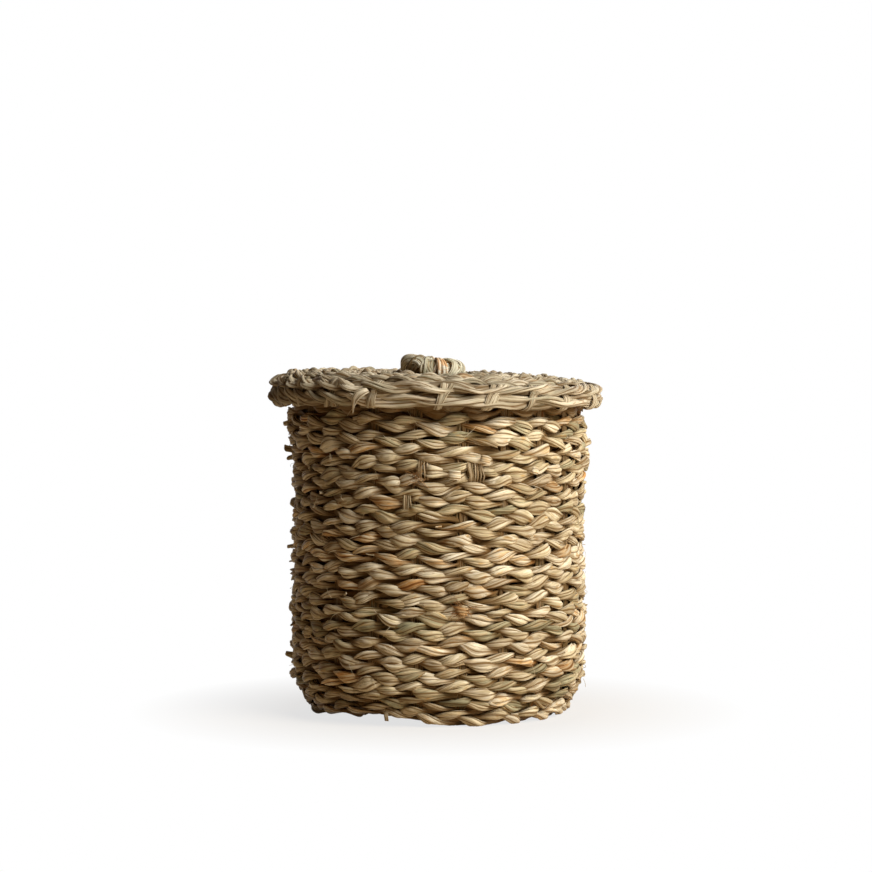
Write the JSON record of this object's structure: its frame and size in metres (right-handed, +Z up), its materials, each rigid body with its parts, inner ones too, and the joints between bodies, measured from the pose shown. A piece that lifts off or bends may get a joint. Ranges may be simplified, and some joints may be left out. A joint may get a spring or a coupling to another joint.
{
  "type": "lidded laundry basket",
  "caption": "Round laundry basket of plaited rush with an upright wall and a lift-off cap lid that has a ring-shaped knob.",
  "frame": {"origin": "centre of the base, on the floor", "axes": "+Z up through the knob; the picture looks along +Y, with +X to its right"},
  "size_m": [0.4554, 0.4554, 0.483],
  "materials": {
    "wall_rush": "matte dried rush",
    "stake_rush": "matte dried rush",
    "lid_rush": "matte dried rush",
    "lid_rim_rush": "matte dried rush",
    "knob_rush": "matte dried rush"
  },
  "bodies": {
    "basket": {"base_row_01": "wall_rush", "base_row_02": "wall_rush", "base_row_03": "wall_rush", "base_row_04": "wall_rush", "base_row_05": "wall_rush", "base_row_06": "wall_rush", "stake_01": "stake_rush", "stake_02": "stake_rush", "stake_03": "stake_rush", "stake_04": "stake_rush", "stake_05": "stake_rush", "stake_06": "stake_rush", "stake_07": "stake_rush", "stake_08": "stake_rush", "stake_09": "stake_rush", "stake_10": "stake_rush", "wall_border": "wall_rush", "wall_row_01": "wall_rush", "wall_row_02": "wall_rush", "wall_row_03": "wall_rush", "wall_row_04": "wall_rush", "wall_row_05": "wall_rush", "wall_row_06": "wall_rush", "wall_row_07": "wall_rush", "wall_row_08": "wall_rush", "wall_row_09": "wall_rush", "wall_row_10": "wall_rush", "wall_row_11": "wall_rush", "wall_row_12": "wall_rush", "wall_row_13": "wall_rush", "wall_row_14": "wall_rush", "wall_row_15": "wall_rush", "wall_row_16": "wall_rush", "wall_row_17": "wall_rush", "wall_row_18": "wall_rush", "wall_row_19": "wall_rush", "wall_row_20": "wall_rush", "wall_row_21": "wall_rush"},
    "lid": {"knob": "knob_rush", "knob_coil": "knob_rush", "lid_edge_row": "lid_rush", "lid_rim_rope": "lid_rim_rush", "lid_rim_ties": "lid_rim_rush", "lid_row_01": "lid_rush", "lid_row_02": "lid_rush", "lid_row_03": "lid_rush", "lid_row_04": "lid_rush", "lid_row_05": "lid_rush", "lid_row_06": "lid_rush", "lid_row_07": "lid_rush", "lid_row_08": "lid_rush", "lid_stakes_across": "stake_rush", "lid_stakes_along": "stake_rush"}
  },
  "joints": [
    {"name": "lid_lift", "type": "slide", "parent": "basket", "child": "lid", "axis": [0, 0, 1], "range_m": [0, 0.3]}
  ]
}
